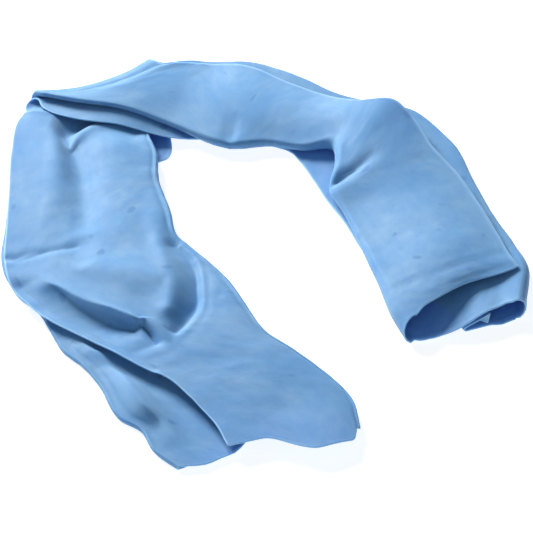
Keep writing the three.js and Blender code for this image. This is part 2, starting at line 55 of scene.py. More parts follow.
# Where the two edges and the two folds of the strip lie, seen from above, as shares of STRIP.
PLAN_COLUMNS = ("ax", "ay", "f1x", "f1y", "f2x", "f2y", "bx", "by")
LEG_PLAN = [
    (-0.22, -1.55, 0.52, -1.33, -0.52, -1.65, 0.3, -1.3),
    (-0.3, -1.38, 0.5, -1.17, -0.66, -1.52, 0.28, -1.18),
    (-0.38, -1.27, 0.42, -1.05, -0.73, -1.38, 0.21, -1.06),
    (-0.46, -1.17, 0.31, -0.93, -0.85, -1.29, 0.12, -0.93),
    (-0.57, -1.05, 0.16, -0.79, -1, -1.01, -0.02, -0.75),
    (-0.77, -0.92, 0, -0.66, -1.1, -0.87, -0.2, -0.62),
    (-0.94, -0.8, -0.13, -0.43, -1.22, -0.75, -0.3, -0.5),
    (-1.12, -0.68, -0.26, -0.19, -1.31, -0.58, -0.38, -0.3),
    (-1.32, -0.54, -0.38, -0.04, -1.39, -0.42, -0.5, -0.12),
    (-1.46, -0.4, -0.48, 0.08, -1.52, -0.29, -0.6, 0.02),
    (-1.57, -0.25, -0.56, 0.17, -1.6, -0.15, -0.66, 0.14),
    (-1.62, -0.06, -0.61, 0.38, -1.65, 0.01, -0.7, 0.35),
    (-1.63, 0.23, -0.66, 0.55, -1.65, 0.31, -0.75, 0.52),
    (-1.64, 0.58, -0.7, 0.71, -1.65, 0.67, -0.76, 0.7),
    (-1.65, 0.94, -0.71, 0.93, -1.65, 1.05, -0.74, 0.93),
    (-1.62, 1.25, -0.79, 1.22, -1.62, 1.27, -0.66, 1.00),
    (-1.59, 1.31, -0.77, 1.51, -1.61, 1.32, -0.66, 1.27),
]
BAND_PLAN = [
    (-1.48, 1.36, -0.69, 1.83, -1.47, 1.45, -0.7, 1.79),
    (-1.26, 1.26, -0.61, 1.86, -1.25, 1.39, -0.62, 1.81),
    (-0.99, 1.21, -0.5, 1.9, -0.98, 1.33, -0.52, 1.84),
    (-0.65, 1.14, -0.36, 1.92, -0.65, 1.22, -0.38, 1.86),
    (-0.29, 1.16, -0.11, 1.92, -0.24, 1.04, -0.14, 1.83),
    (0.02, 1.12, 0.23, 1.76, 0.02, 1.07, 0.14, 1.66),
    (0.17, 1.05, 0.49, 1.59, 0.24, 1.03, 0.38, 1.51),
    (0.22, 0.97, 0.73, 1.5, 0.43, 1.02, 0.6, 1.36),
    (0.27, 0.87, 0.97, 1.43, 0.45, 0.91, 0.84, 1.34),
    (0.32, 0.76, 1.14, 1.24, 0.44, 0.8, 0.96, 1.21),
    (0.38, 0.62, 1.24, 1.07, 0.41, 0.64, 1.08, 0.96),
    (0.5, 0.39, 1.32, 0.8, 0.5, 0.41, 1.2, 0.78),
    (0.63, 0.1, 1.43, 0.45, 0.61, 0.06, 1.34, 0.46),
    (0.86, -0.16, 1.55, 0.14, 0.7, -0.27, 1.45, 0.14),
    (1.1, -0.4, 1.62, -0.08, 0.77, -0.53, 1.52, -0.08),
    (1.2, -0.53, 1.58, -0.4, 0.83, -0.68, 1.55, -0.14),
]

# How each row stands. near and far are the layers of cloth under the strip on its two sides. edge, open1
# and open2 lift the free edge on top and the upper side of each fold, and rise1 to rise3 lift the middle
# of each layer, as shares of LOFT. drop lets fold 2 down as a share of PITCH. turn bends edge A up by
# that share of a half turn, with a flap over shares of HEM wide.
LIFT_COLUMNS = ("near", "far", "edge", "open1", "open2", "rise1", "rise2", "rise3", "drop", "turn",
                "over")
LEG_LIFT = [
    (0, 0, 0.2, 0, 0, 0.3, 0, 0, 0, 0, 0),
    (0, 0, 0.3, 0, 0, 0.4, 0, 0, 0, 0, 0),
    (0, 0, 0.3, 0, 0, 0.4, 0, 0, 0, 0, 0),
    (0, 0, 0.4, 0, 0, 0.5, 0, 0, 0, 0, 0),
    (0, 0, 0.4, 0, 0, 0.6, 0, 0, 0, 0, 0),
    (0, 0, 0.3, 0.1, 0, 0.6, 0, 0, 0, 0, 0),
    (0, 0, 0.2, 0.2, 0, 0.7, 0, 0, 0, 0, 0),
    (0, 0, 0.1, 0.3, 0, 0.7, 0, 0, 0, 0, 0),
    (0, 0, 0.1, 0.4, 0, 0.7, 0, 0, 0, 0, 0),
    (0, 0, 0.2, 0.4, 0, 0.7, 0, 0, 0, 0, 0),
    (0, 0, 0.3, 0.4, 0, 0.7, 0, 0, 0, 0, 0),
    (0, 0, 0.4, 0.4, 0, 0.7, 0, 0, 0, 0, 0),
    (0, 0, 0.5, 0.4, 0, 0.7, 0, 0, 0, 0, 0),
    (0, 0, 0.5, 0.4, 0, 0.7, 0, 0, 0, 0, 0),
    (0, 0, 0.5, 0.3, 0, 0.6, 0, 0, 0, 0, 0),
    (0.2, 0, 0.4, 0, 0, 0.1, 0, 0, 0, 0, 0),
    (1, 0, 0.1, 0, 0, 0, 0, 0, 0, 0, 0),
]
BAND_LIFT = [
    (5, 3, 0, 0, 0, 0, 0, 0, 0, 0, 0),
    (5.3, 2.6, 0, 0, 0, 0, 0, 0.1, -0.2, 0, 0),
    (4.8, 1.4, 0.1, 0.1, 0, 0, 0, 0.1, -0.1, 0, 0),
    (2.2, 0, 0.2, 0.2, 0.1, 0, 0, 0.2, 0, 0, 0),
    (0.5, 0, 0.3, 0.2, 0.3, 0, 0, 0.4, 0, 0, 0),
    (0, 0, 0.3, 0.2, 0.3, 0, 0, 0.4, 0, 0, 0),
    (0, 0, 0.5, 0.2, 0.3, 0, 0, 0.4, 0, 0, 0),
    (0, 0, 1.3, 0.2, 0.8, 0, 0, 0.2, 0, 0, 0),
    (0, 0, 1.5, 0.2, 1, 0, 0, 0.2, 0, 0, 0),
    (0, 0, 1.1, 0.2, 0.9, 0, 0, 0.3, 0, 0, 0),
    (0, 0, 0.8, 0.2, 0.7, 0, 0, 0.3, 0, 0, 0),
    (0, 0, 0.6, 0.2, 0.3, 0, 0, 0.4, 0, 0, 0),
    (0, 0, 0.6, 0.3, 0.5, 0, 0.1, 0.5, 0, 0, 0),
    (0, 0, 0.7, 0.5, 0.9, 0, 0.2, 0.6, 0, 0, 0),
    (0, 0, 0.85, 0.9, 1.25, 0, 0.1, 0.3, 0.5, 0.5, 0),
    (0, 0, 0.85, 1.2, 1.4, 0, 0, 0.1, 1, 0.87, 1.2),
]
# The outlines of the two cut ends: (place across the sheet, push beyond the end as a share of LOFT). The
# places run from 0 at edge A over 1 and 2 at the folds to 3 at edge B. The push fades over CUT_ROWS rows.
TAIL_CUT = [(0, 0), (0.5, 1.7), (0.85, 1.6), (1.02, 0.5), (1.15, -1.2), (1.48, -1.2), (1.72, 0.1),
            (1.87, 0.4), (2.02, 0.1), (2.4, -1), (3, -1)]
ARM_CUT = [(0, 0.3), (0.5, 0.5), (0.95, 0.4), (1.1, 0), (1.6, 0.4), (1.9, 0.1), (2.14, -0.8),
           (2.4, -0.8), (3, 0)]
CUT_ROWS = 2.0
# The far left corner: how far the strip has turned over at each of its rows, the line that it turns over
# from its south to its north end, how far it drifts along that line, how far it sags off it as a share of
# LOFT, and how far its free edges lie south of its folds.
CORNER_TURNS = np.radians([-90.0, -45.0, 0.0, 45.0, 90.0])
CORNER_SOUTH = np.array([-1.53, 1.44]) * STRIP
CORNER_NORTH = np.array([-0.77, 1.83]) * STRIP
CORNER_DRIFT = np.array([0.03, 0.015]) * STRIP
CORNER_SAG = 1
CORNER_STAGGER = 0.03 * STRIP

# Folds that a layer is drawn over: (reach, line of x, y, height), with x and y as shares of STRIP, and
# reach and height as shares of LOFT. The cloth passes through the lines and returns to its plain run
# beyond their reach.
LEG_FOLDS = {
    "left ridge": (2, [(-1.55, 1.37, 1.3), (-1.47, 1.22, 1.45), (-1.39, 1.02, 1.45), (-1.36, 0.78, 1.45),
                       (-1.37, 0.55, 1.4), (-1.38, 0.33, 1.3), (-1.4, 0.11, 1.2)]),
    "hollow under the lip": (2, [(-1.1, 1.32, 0.6), (-1.17, 1.29, 0.58), (-1.24, 1.22, 0.58),
                                 (-1.3, 1.14, 0.6), (-1.27, 1, 0.75), (-1.2, 0.75, 0.85),
                                 (-1.17, 0.51, 0.9), (-1.16, 0.27, 1)]),
    "shoulder rim": (1.5, [(-1.27, 0.99, 1.2), (-1.24, 1.06, 1.25), (-1.19, 1.12, 1.25), (-1.12, 1.18, 1.2),
                           (-0.99, 1.19, 1), (-0.86, 1.16, 0.75)]),
    "shoulder": (2.5, [(-1, 0.93, 1.4), (-0.95, 0.64, 1.4), (-0.9, 0.41, 1.45), (-0.87, 0.18, 1.45)]),
    "bulge rim": (2, [(-1.52, -0.17, 1), (-1.39, -0.2, 1.3), (-1.26, -0.28, 1.5), (-1.07, -0.42, 1.7),
                      (-0.92, -0.5, 1.8), (-0.78, -0.57, 1.7), (-0.69, -0.63, 1.55), (-0.63, -0.69, 1.4),
                      (-0.58, -0.75, 1.25)]),
    "bulge": (2.5, [(-1.28, -0.09, 1.3), (-1.03, -0.16, 1.6), (-0.81, -0.22, 1.75), (-0.66, -0.26, 1.75)]),
    "flank crest": (2, [(-0.73, 0.31, 1.45), (-0.68, 0.1, 1.55), (-0.63, -0.13, 1.7),
                        (-0.59, -0.33, 1.75), (-0.6, -0.5, 1.7)]),
    "pocket": (2, [(-1.5, -0.27, 0.7), (-1.36, -0.34, 0.62), (-1.2, -0.45, 0.6), (-1.01, -0.56, 0.6),
                   (-0.87, -0.61, 0.6), (-0.8, -0.63, 0.65)]),
    "lower strip": (1, [(-1.38, -0.43, 0.75), (-1.19, -0.57, 0.8), (-1, -0.7, 0.85), (-0.85, -0.79, 0.85),
                        (-0.74, -0.89, 0.9), (-0.67, -0.97, 0.95)]),
    "tail lip": (2, [(-0.53, 0.07, 1.15), (-0.45, -0.03, 1.2), (-0.41, -0.15, 1.2), (-0.39, -0.32, 1.2),
                     (-0.39, -0.49, 1.2), (-0.45, -0.63, 1.2), (-0.53, -0.73, 1.2), (-0.62, -0.83, 1.2)]),
    "valley by the tail": (2, [(-0.56, 0.07, 0.95), (-0.49, -0.01, 0.85), (-0.44, -0.12, 0.8),
                               (-0.42, -0.28, 0.75), (-0.42, -0.43, 0.75), (-0.48, -0.56, 0.8),
                               (-0.54, -0.66, 0.85)]),
    "under the collar": (1, [(-0.74, -0.62, 0.8), (-0.7, -0.68, 0.7), (-0.66, -0.76, 0.8)]),
    "collar": (1, [(-0.77, -0.58, 1.05), (-0.75, -0.69, 1.15), (-0.71, -0.8, 1.15), (-0.67, -0.88, 1.15),
                   (-0.63, -0.95, 1.1)]),
    "beyond the lip": (2, [(-0.38, -0.04, 1.18), (-0.32, -0.19, 1.2), (-0.31, -0.38, 1.22),
                           (-0.34, -0.58, 1.22), (-0.42, -0.73, 1.2), (-0.53, -0.85, 1.17)]),
    "tail": (3, [(-0.25, -0.41, 1.25), (-0.19, -0.74, 1.2), (-0.1, -1.06, 1.1), (0.08, -1.28, 0.95)]),
}
LEG_SECOND_FOLDS = {
    "hump": (1.5, [(-1.3, -0.61, 0.6), (-1.23, -0.72, 0.9), (-1.09, -0.83, 1.1), (-0.95, -0.98, 1.25),
                   (-0.81, -1.12, 1.3), (-0.72, -1.29, 1.25), (-0.65, -1.44, 1.05), (-0.6, -1.57, 0.6)]),
    "foot": (2, [(-0.91, -0.86, 0.3), (-0.73, -0.99, 0.26), (-0.58, -1.13, 0.26), (-0.44, -1.33, 0.26),
                 (-0.3, -1.53, 0.26)]),
    "under the edge": (0.6, [(-1.28, -0.56, 0.54), (-1.12, -0.69, 0.54), (-1.01, -0.76, 0.45)]),
}
ARM_SECOND_FOLDS = {
    "foot": (1, [(0.98, -0.67, 0.15), (0.93, -0.46, 0.2)]),
    "crest": (1.2, [(1.36, -0.49, 1.26), (1.29, -0.26, 1.1)]),
}
# Small creases on top of that: (stretch, right reach, left reach, slide, sharpness, line). A stretch is the
# layers that the crease marks, and the rows between which it shows.
LEG_TOP = ((0, 1), 3, 17)
ARM_TOP = ((2.5, 3), 22, 37)
CREASES = {
    "bulge rim": (LEG_TOP, 0.7, 1.2, 0.45, 2, [
        (-1.39, -0.2, 0), (-1.26, -0.26, 0), (-1.07, -0.41, 0), (-0.91, -0.48, 0), (-0.77, -0.55, 0)]),
    "side crease": (LEG_TOP, 0.6, 0.6, 0, 1, [
        (-1.62, -0.04, -0.15), (-1.5, -0.03, -0.15), (-1.35, 0.01, -0.15), (-1.19, 0.05, -0.1)]),
    "dimple": (LEG_TOP, 1.2, 1.2, 0, 2, [(-1.16, 0.04, -0.15), (-1.16, -0.07, -0.15)]),
    "band pinch": (ARM_TOP, 0.6, 0.6, 0, 1, [
        (-0.25, 1.03, -0.2), (-0.23, 1.12, -0.2), (-0.2, 1.27, -0.1)]),
    "turn notch": (ARM_TOP, 0.8, 0.8, 0, 1, [
        (0.41, 0.64, -0.6), (0.54, 0.72, -0.4), (0.68, 0.85, -0.1)]),
    "turn crease": (ARM_TOP, 0.5, 0.5, 0, 1, [
        (0.94, 1.22, -0.08), (1.03, 1.04, -0.08), (1.1, 0.9, -0.08), (1.21, 0.78, -0.08)]),
    "end crease": (ARM_TOP, 0.4, 0.4, 0, 1, [
        (0.77, -0.35, -0.07), (1, -0.26, -0.07), (1.25, -0.14, -0.07), (1.47, -0.02, -0.07)]),
}


def columns(names, rows):
    """A table's rows as one array for each named column."""
    return dict(zip(names, np.array(rows, float).T))


def flat_point(x, y, z):
    """Points from arrays of x and y, as shares of STRIP, and z in millimetres."""
    return np.stack([x * STRIP, y * STRIP, z + 0 * x], axis=-1)


def level(layers):
    """Height of the middle of the sheet that lies on so many layers of cloth."""
    return THICKNESS / 2 + layers * PITCH


def toward(start, goal, length):
    """start moved a length towards goal as seen from above, at its own height."""
    way = (goal - start) * [1, 1, 0]
    way = way / np.maximum(np.linalg.norm(way, axis=-1, keepdims=True), 1e-9)
    return start + way * np.asarray(length)[..., None]


def with_height(points, height):
    """The points moved up or down to a height."""
    height = np.broadcast_to(height, points.shape[:-1])
    return np.concatenate([points[..., :2], height[..., None]], axis=-1)


# The margin's width and its narrowest flap as shares of HEM, and the flap's spans: (share of its length,
# multiple of the arc's angle). An angle under LEAST_ANGLE counts as flat.
MARGIN = 0.9
LEAST_FLAP = 0.1
LEAST_ANGLE = 1e-3
FLAP_SPANS = ((0.7, 1), (0.3, 1.8))


def margin_profile(turn, over):
    """The margin along edge A in section: a flat rest, an arc of fixed length whose angle is turn times
    a half turn, and a flap in two spans, each a share of its length at a multiple of the arc's angle.
    Eight (outward, height) pairs from its tip inward."""
    bend = math.pi * PITCH / 2
    rest = HEM * MARGIN - bend
    angle = np.maximum(turn * math.pi, LEAST_ANGLE)
    share = np.array([1, 0.75, 0.5, 0.25, 0])[:, None]
    outward = rest + bend / angle * np.sin(angle * share)
    height = bend / angle * (1 - np.cos(angle * share))
    for length, times in FLAP_SPANS:
        way = times * angle
        flap = length * HEM * np.maximum(over, LEAST_FLAP)
        outward = np.concatenate([[outward[0] + flap * np.cos(way)], outward])
        height = np.concatenate([[height[0] + flap * np.sin(way)], height])
    return np.concatenate([outward, [0 * angle]]), np.concatenate([height, [0 * angle]])


def strands(plan, lift, on_leg):
    """Fifteen points across the strip at each row: the margin at edge A (8), the way in, tip and way
    out of fold 1 and of fold 2, and edge B. A fold's depth is FOLD_DEPTH of its height, and heights
    count the layers of cloth below."""
    near, far = lift["near"], lift["far"]
    if on_leg:
        height_a = level(2 + near) + lift["edge"] * LOFT
        fold_1 = level(2) + lift["open1"] * LOFT, level(1) + 0 * near
        fold_2 = level(1 + near), level(near)
        height_b = level(0) + 0 * near
    else:
        height_a = level(near)
        fold_1 = level(far), level(1 + far) + lift["open1"] * LOFT
        fold_2 = level(1 + near - lift["drop"]), level(2 + near - lift["drop"]) + lift["open2"] * LOFT
        height_b = level(2 + far) + lift["edge"] * LOFT
    edge_a = flat_point(plan["ax"], plan["ay"], height_a)
    tip_1 = flat_point(plan["f1x"], plan["f1y"], (fold_1[0] + fold_1[1]) / 2)
    tip_2 = flat_point(plan["f2x"], plan["f2y"], (fold_2[0] + fold_2[1]) / 2)
    edge_b = flat_point(plan["bx"], plan["by"], height_b)
    depth_1 = FOLD_DEPTH * abs(fold_1[0] - fold_1[1])
    depth_2 = FOLD_DEPTH * abs(fold_2[0] - fold_2[1])
    outward, height = margin_profile(lift["turn"], lift["over"])
    margin = [toward(edge_a, tip_1, outward.max(axis=0) - out) + up[:, None] * [0, 0, 1]
              for out, up in zip(outward, height)]
    return np.stack([
        *margin,
        with_height(toward(tip_1, edge_a, depth_1), fold_1[0]),
        tip_1,
        with_height(toward(tip_1, tip_2, depth_1), fold_1[1]),
        with_height(toward(tip_2, tip_1, depth_2), fold_2[0]),
        tip_2,
        with_height(toward(tip_2, edge_b, depth_2), fold_2[1]),
        edge_b,
    ], axis=1)


def corner_strands(turns):
    """The same points where the strip turns over a line from the south to the north outline corner: each
    layer lies on a spoke that swings from below the line, through level, to above it."""
    drift = np.outer(turns / (math.pi / 2), [*CORNER_DRIFT, 0])
    south = np.array([*CORNER_SOUTH, CORNER_HEIGHT]) + drift
    north = np.array([*CORNER_NORTH, level(2) + PITCH / 2]) + drift
    along = (north - south)[0] / np.linalg.norm((north - south)[0])
    side = np.array([-along[1], along[0], 0]) / np.hypot(along[0], along[1])
    spoke = np.cos(turns)[:, None] * side + np.sin(turns)[:, None] * [0, 0, 1]

    def at(end, layer, shift):
        """The end of a layer on its spoke, shifted along the line."""
        return end + spoke * (layer + 0.5) * PITCH + along * shift

    reach = FOLD_DEPTH * PITCH
    outward, _ = margin_profile(np.zeros(1), np.zeros(1))
    margin = [at(south, 0, outward[0, 0] - out - CORNER_STAGGER) for out in outward[:, 0]]
    return np.stack([
        *margin,
        at(north, 0, -reach), at(north, 0.5, 0), at(north, 1, -reach),
        at(south, 1, reach), at(south, 1.5, 0), at(south, 2, reach),
        at(north, 2, -CORNER_STAGGER),
    ], axis=1)


def through(values, places, spacing):
    """Catmull-Rom curves through values at 0, 1, 2... read at places: between two values, the cubic with
    their slopes. spacing gives the length of each span, so that a long span doesn't swing a short one."""
    last = len(values) - 1
    i = np.minimum(places.astype(int), last - 1)
    u = (places - i).reshape(-1, *[1] * (values.ndim - 1))
    ends = [2 * values[:1] - values[1:2], values, 2 * values[-1:] - values[-2:-1]]
    p0, p1, p2, p3 = (np.concatenate(ends)[i + k] for k in range(4))
    spans = np.concatenate([spacing[:1], spacing, spacing[-1:]])
    d0, d1, d2 = (spans[i + k] for k in range(3))
    slope_1 = ((p1 - p0) / d0 - (p2 - p0) / (d0 + d1) + (p2 - p1) / d1) * d1
    slope_2 = ((p2 - p1) / d1 - (p3 - p1) / (d1 + d2) + (p3 - p2) / d2) * d1
    return ((2 * u ** 3 - 3 * u ** 2 + 1) * p1 + (u ** 3 - 2 * u ** 2 + u) * slope_1
            + (3 * u ** 2 - 2 * u ** 3) * p2 + (u ** 3 - u ** 2) * slope_2)


# Steps of the grid across each layer, and round each fold.
ACROSS = {"layers": (46, 22, 30), "fold": 7}


def lines_across(points, rise):
    """The sheet's middle surface. Each layer is a straight line between its ends, lifted by a hump
    (4x(1 - x)) ** 1.5. Each fold is half an ellipse. Also gives the layer of each column, its share of
    the way round a fold, and its place across the sheet, with the folds near 1 and 2 and edge B at 3."""
    lines, layer_of, share_of, across_of = [points[:, :8]], [0] * 8, [1] * 8, [0] * 8
    way_in_1, tip_1, way_out_1, way_in_2, tip_2, way_out_2, edge_b = (
        points[:, k:k + 1] for k in range(8, 15))

    def layer(start, end, k):
        """Layer k + 1 as a line from start to end, lifted by its hump."""
        x = np.arange(1, ACROSS["layers"][k] + 1) / ACROSS["layers"][k]
        arch = (4 * x * (1 - x))[None, :, None]
        place = start + (end - start) * x[None, :, None]
        place[..., 2:] += rise[:, None, k:k + 1] * arch ** 1.5
        lines.append(place)
        layer_of.extend([k + 1] * x.size)
        share_of.extend([1] * x.size)
        across_of.extend(k + x)

    def fold(start, tip, end, k):
        """Half an ellipse from start over tip to end, between layers k - 0.5 and k + 0.5."""
        share = np.arange(1, ACROSS["fold"] + 1) / ACROSS["fold"]
        angle = (math.pi / 2 - share * math.pi)[None, :, None]
        middle = (start + end) / 2
        lines.append(middle + (tip - middle) * np.cos(angle) + (start - middle) * np.sin(angle))
        layer_of.extend([k] * share.size)
        share_of.extend(share)
        across_of.extend(round(k - 0.5) + 0.1 * (share - 0.5))

    layer(points[:, 7:8], way_in_1, 0)
    fold(way_in_1, tip_1, way_out_1, 1.5)
    layer(way_out_1, way_in_2, 1)
    fold(way_in_2, tip_2, way_out_2, 2.5)
    layer(way_out_2, edge_b, 2)
    return np.concatenate(lines, axis=1), np.array(layer_of), np.array(share_of), np.array(across_of)


# Steps of a curve between two of its points, and the shortest distance that counts, in millimetres.
SPAN_STEPS = 12
CLOSEST = 0.3


def fine_line(line):
    """A line of (x, y, height) shares as a smooth curve in millimetres, SPAN_STEPS to each span."""
    line = np.array(line, float) * [STRIP, STRIP, LOFT]
    stops = np.linspace(0, len(line) - 1, SPAN_STEPS * (len(line) - 1) + 1)
    return through(line, stops, np.linalg.norm(np.diff(line[:, :2], axis=0), axis=1)[:, None])


def nearest(line, spots):
    """For each spot: distance to the line as seen from above, the line's height there, its normal to the
    left, and whether the spot lies on its left."""
    start, way = line[:-1], np.diff(line, axis=0)
    length = np.linalg.norm(way[:, :2], axis=1)
    gap = spots[:, None, :2] - start[None, :, :2]
    along = np.clip((gap * way[:, :2]).sum(axis=-1) / length ** 2, 0, 1)
    off = np.linalg.norm(gap - along[..., None] * way[:, :2], axis=-1)
    best = off.argmin(axis=1)
    every = np.arange(len(spots))
    height = start[best, 2] + way[best, 2] * along[every, best]
    normal = np.stack([-way[best, 1], way[best, 0]], axis=1) / length[best, None]
    return off[every, best], height, normal, (gap[every, best] * normal).sum(axis=1) > 0


def smooth_step(x, low, high):
    """3s^2 - 2s^3 of the way from low to high, held outside them."""
    s = np.clip((x - low) / (high - low), 0, 1)
    return s * s * (3 - 2 * s)


def draw_over(surface, folds, fade):
    """Lifts the surface towards the folds: a height is the mean of its own height, with weight one, and
    of each line's height with weight (reach / distance)^2, with no distance under CLOSEST. fade keeps
    part of the surface as it was."""
    held = fade > 0
    spots = surface[held]
    total, weights = spots[:, 2].copy(), np.ones(len(spots))
    for reach, line in folds.values():
        distance, height, _, _ = nearest(fine_line(line), spots)
        weight = (reach * LOFT / np.maximum(distance, CLOSEST)) ** 2
        total += weight * height
        weights += weight
    moved = surface.copy()
    moved[held, 2] += (total / weights - spots[:, 2]) * fade[held]
    return moved


def press(surface, places, layer_of, share_of):
    """Each crease lifts the surface by its height times (1 - s ** sharpness) ** 2, where s is the
    distance from its line over its reach on that side, and slides the crest to its right."""
    moved = surface.copy()
    for (layers, start, end), right, left, slide, sharpness, line in CREASES.values():
        fade = np.clip(places - start, 0, 1) * np.clip(end - places, 0, 1)
        fade = fade[:, None] * share_of * np.isin(layer_of, layers)
        held = fade > 0
        distance, height, normal, is_left = nearest(fine_line(line), surface[held])
        s = np.minimum(distance / (np.where(is_left, left, right) * LOFT), 1)
        weight = (1 - s ** sharpness) ** 2 * fade[held]
        moved[held, 2] += height * weight
        moved[held, :2] -= normal * (weight * slide * LOFT)[:, None]
    return moved


CELLS = 64
# The wrinkles, in millimetres: (height, size along the strip, size across it), one seed each from 1 on.
WRINKLES = ((0.35, 26, 34), (0.2, 11, 19), (0.1, 6, 7))


def smooth_noise(u, v, seed):
    """Value noise: random heights at whole numbers of u and v, joined by smooth steps 3x^2 - 2x^3."""
    heights = np.random.default_rng(seed).uniform(-1, 1, (CELLS, CELLS))
    i, j = np.floor(u).astype(int), np.floor(v).astype(int)
    x, y = u - i, v - j
    x, y = x * x * (3 - 2 * x), y * y * (3 - 2 * y)

    def at(di, dj):
        """The random height at a corner of each spot's cell."""
        return heights[(i + di) % CELLS, (j + dj) % CELLS]

    return (at(0, 0) * (1 - x) + at(1, 0) * x) * (1 - y) + (at(0, 1) * (1 - x) + at(1, 1) * x) * y


def normals(surface):
    """Unit normals of a grid, from the cross product of its two directions."""
    across = np.cross(np.gradient(surface, axis=0), np.gradient(surface, axis=1))
    return across / np.maximum(np.linalg.norm(across, axis=-1, keepdims=True), 1e-9)


def along_and_across(surface):
    """Distance along the strip and across it at each point of the grid, in millimetres."""
    step_along = np.linalg.norm(np.diff(surface, axis=0), axis=-1).mean(axis=1)
    step_across = np.linalg.norm(np.diff(surface, axis=1), axis=-1)
    along = np.concatenate([[0], np.cumsum(step_along)])[:, None] + 0 * surface[..., 0]
    across = np.concatenate([0 * surface[:, :1, 0], np.cumsum(step_across, axis=1)], axis=1)
    return along, across


# Steps of the grid from one row of the tables to the next.
STEPS_ALONG = {"leg": 15, "corner": 6, "band": 8}
# The corner's sag comes in between these rows from the leg's last and goes out between these from the
# band's first. The leg's folds stop LEG_END[0] rows past its last, and fade over LEG_END[1] rows.
SAG_IN = (-1.5, 1)
SAG_OUT = (-1, 3)
LEG_END = (0.6, 0.8)
# Where the drawn folds come in and go out across the sheet, and how many rows they reach from a cut end.
TOP_OUT = (0.95, 1.06)
LEG_SECOND = ((1.2, 1.5), (1.9, 1.98), 8)
ARM_SECOND = ((1.05, 1.25), (1.8, 1.95), 2)


def cut_line(rows, across):
    """The push of a cut end at each place across the sheet, by smooth steps from one row to the next."""
    places, pushes = np.array(rows, float).T
    i = np.clip(np.searchsorted(places, across, side="right") - 1, 0, len(rows) - 2)
    step = smooth_step((across - places[i]) / (places[i + 1] - places[i]), 0, 1)
    return (pushes[i] + (pushes[i + 1] - pushes[i]) * step) * LOFT


def middle_surface():
    """The middle surface of the laid sheet, pressed and wrinkled, as a grid of rows from the tail's end
    to the arm's, each running from edge A to edge B. A cut end is pushed along the strip by its cut line.
    The corner sags off its line by CORNER_SAG * 4s(1 - s), where s is the share of the way along it."""
    leg, band = columns(PLAN_COLUMNS, LEG_PLAN), columns(PLAN_COLUMNS, BAND_PLAN)
    leg_lift, band_lift = columns(LIFT_COLUMNS, LEG_LIFT), columns(LIFT_COLUMNS, BAND_LIFT)
    rows = np.concatenate([strands(leg, leg_lift, True), corner_strands(CORNER_TURNS),
                           strands(band, band_lift, False)])
    last, corner, turned = len(rows) - 1, len(LEG_PLAN) - 1, len(LEG_PLAN) + len(CORNER_TURNS)
    rises = np.concatenate([
        np.stack([leg_lift[f"rise{k}"] for k in (1, 2, 3)], axis=1), np.zeros((len(CORNER_TURNS), 3)),
        np.stack([band_lift[f"rise{k}"] for k in (1, 2, 3)], axis=1)]) * LOFT
    places = np.concatenate([
        np.arange(0, corner, 1 / STEPS_ALONG["leg"]), np.arange(corner, turned, 1 / STEPS_ALONG["corner"]),
        np.linspace(turned, last, (last - turned) * STEPS_ALONG["band"] + 1)])
    chords = np.maximum(np.linalg.norm(np.diff(rows, axis=0), axis=-1, keepdims=True), 1e-3)
    surface, layer_of, share_of, across = lines_across(
        through(rows, places, chords), through(rises, places, np.ones((last, 1))))

    def near_end(away):
        """(1 - away / CUT_ROWS)^2, and zero beyond."""
        return np.clip(1 - away / CUT_ROWS, 0, 1)[:, None] ** 2

    forward = np.gradient(surface.mean(axis=1), axis=0)[:, None, :] * [1, 1, 0]
    forward = forward / np.linalg.norm(forward, axis=-1, keepdims=True)
    push = (near_end(last - places) * cut_line(ARM_CUT, across)
            - near_end(places) * cut_line(TAIL_CUT, across))
    surface = surface + forward * push[..., None]
    line = CORNER_NORTH - CORNER_SOUTH
    share = np.clip((surface[..., :2] - CORNER_SOUTH) @ line / (line @ line), 0, 1)
    near = smooth_step(places, corner + SAG_IN[0], corner + SAG_IN[1])
    near = near * (1 - smooth_step(places, turned + SAG_OUT[0], turned + SAG_OUT[1]))
    out = line[::-1] * [-1, 1] / np.linalg.norm(line)
    surface[..., :2] -= out * (near[:, None] * 4 * share * (1 - share) * CORNER_SAG * LOFT)[..., None]

    on_leg = np.clip((corner + LEG_END[0] - places) / LEG_END[1], 0, 1)[:, None]
    surface = draw_over(surface, LEG_FOLDS, on_leg * (1 - smooth_step(across, *TOP_OUT)))
    for folds, (come_in, go_out, reach), away in ((LEG_SECOND_FOLDS, LEG_SECOND, places),
                                                  (ARM_SECOND_FOLDS, ARM_SECOND, last - places)):
        second = smooth_step(across, *come_in) * (1 - smooth_step(across, *go_out))
        surface = draw_over(surface, folds, np.clip(reach - away, 0, 1)[:, None] * second)
    surface = press(surface, places, layer_of, share_of)
    u, v = along_and_across(surface)
    wrinkles = sum(height * smooth_noise(u / long, v / wide, seed)
                   for seed, (height, long, wide) in enumerate(WRINKLES, 1))
    return surface + normals(surface) * wrinkles[..., None]


# Steps round the cut edge, and how far its painted highlight, a paler colour, shows on the faces beside it.
RIM = 4
HIGHLIGHT_BORDER = 0.7


